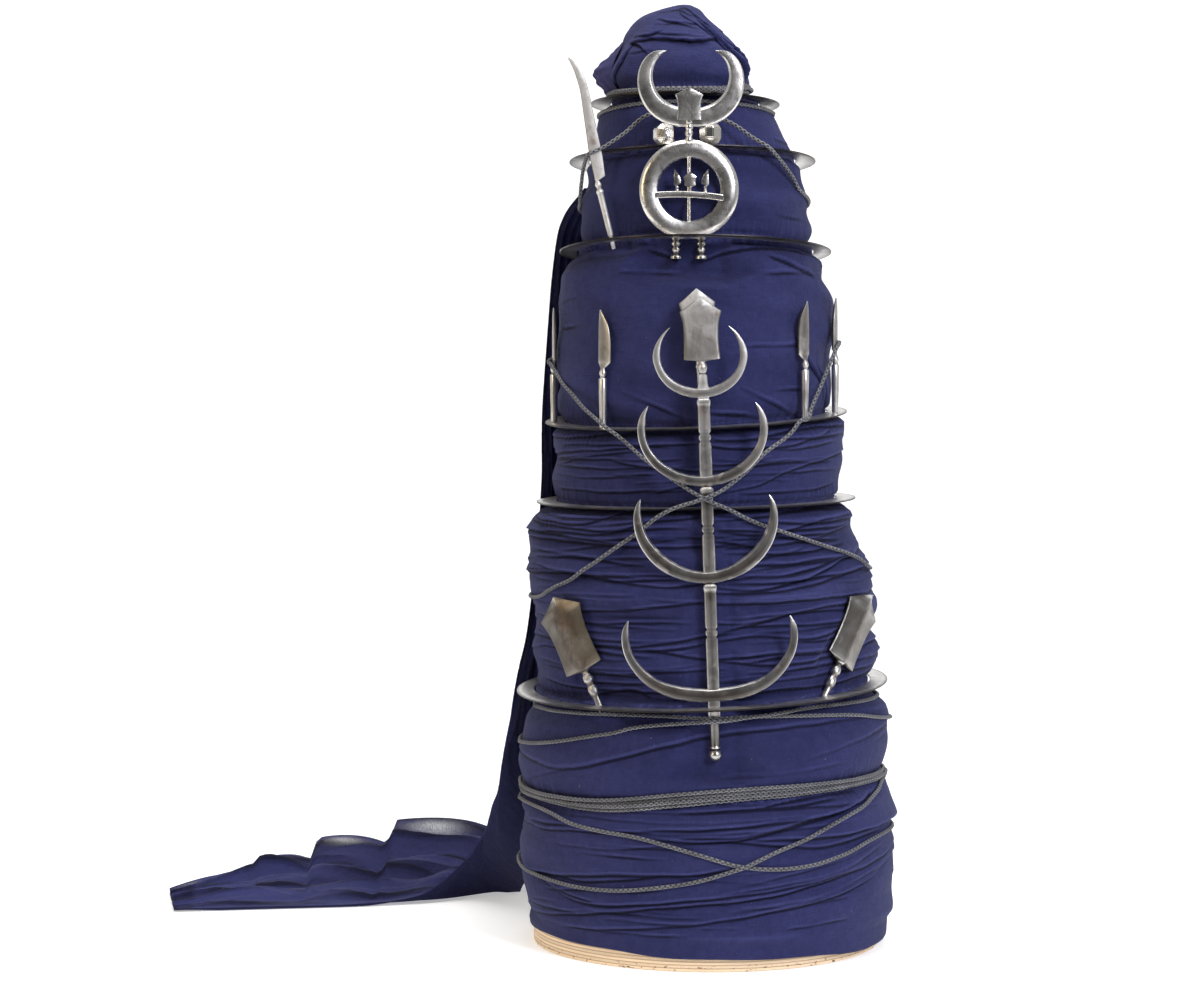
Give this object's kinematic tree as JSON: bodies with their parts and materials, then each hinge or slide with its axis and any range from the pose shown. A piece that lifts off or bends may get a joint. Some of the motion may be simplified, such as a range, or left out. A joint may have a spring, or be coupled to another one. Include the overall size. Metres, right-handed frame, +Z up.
{
  "type": "sikh turban with plywood base ring",
  "caption": "Tall cone of wound navy cotton with flat steel rings, crescents, blades and grey cords, a loose cloth tail on the floor, and a plywood ring that it stands on.",
  "frame": {"origin": "middle of the underside of the plywood ring, on the floor, where the head goes in", "axes": "+Z up to the top of the turban, -Y towards the front with the crescents, +X to its right as seen from the front"},
  "size_m": [0.5975, 0.5457, 0.75],
  "materials": {
    "navy_cotton": "matt plain weave",
    "tarnished_steel": "worn, with brown rust in the recesses",
    "grey_cord": "braided",
    "pale_plywood": "bare"
  },
  "bodies": {
    "root": {"base_ring": "pale_plywood", "wound_cloth": "navy_cotton", "crown_flap": "navy_cotton", "cloth_tail": "navy_cotton", "quoit_1": "tarnished_steel", "quoit_2": "tarnished_steel", "quoit_3": "tarnished_steel", "quoit_4": "tarnished_steel", "quoit_5": "tarnished_steel", "quoit_6": "tarnished_steel", "crescent_staff": "tarnished_steel", "back_spade_blade": "tarnished_steel", "crest_badge": "tarnished_steel", "knob_left": "tarnished_steel", "knob_right": "tarnished_steel", "long_knife": "tarnished_steel", "small_knife_1": "tarnished_steel", "small_knife_2": "tarnished_steel", "small_knife_3": "tarnished_steel", "small_knife_4": "tarnished_steel", "side_blade_left": "tarnished_steel", "side_blade_right": "tarnished_steel", "crown_cord": "grey_cord", "crown_cord_low": "grey_cord", "crest_cord": "grey_cord", "cross_cord": "grey_cord", "waist_cord": "grey_cord", "cord_band": "grey_cord", "lower_cord": "grey_cord"}
  },
  "joints": []
}
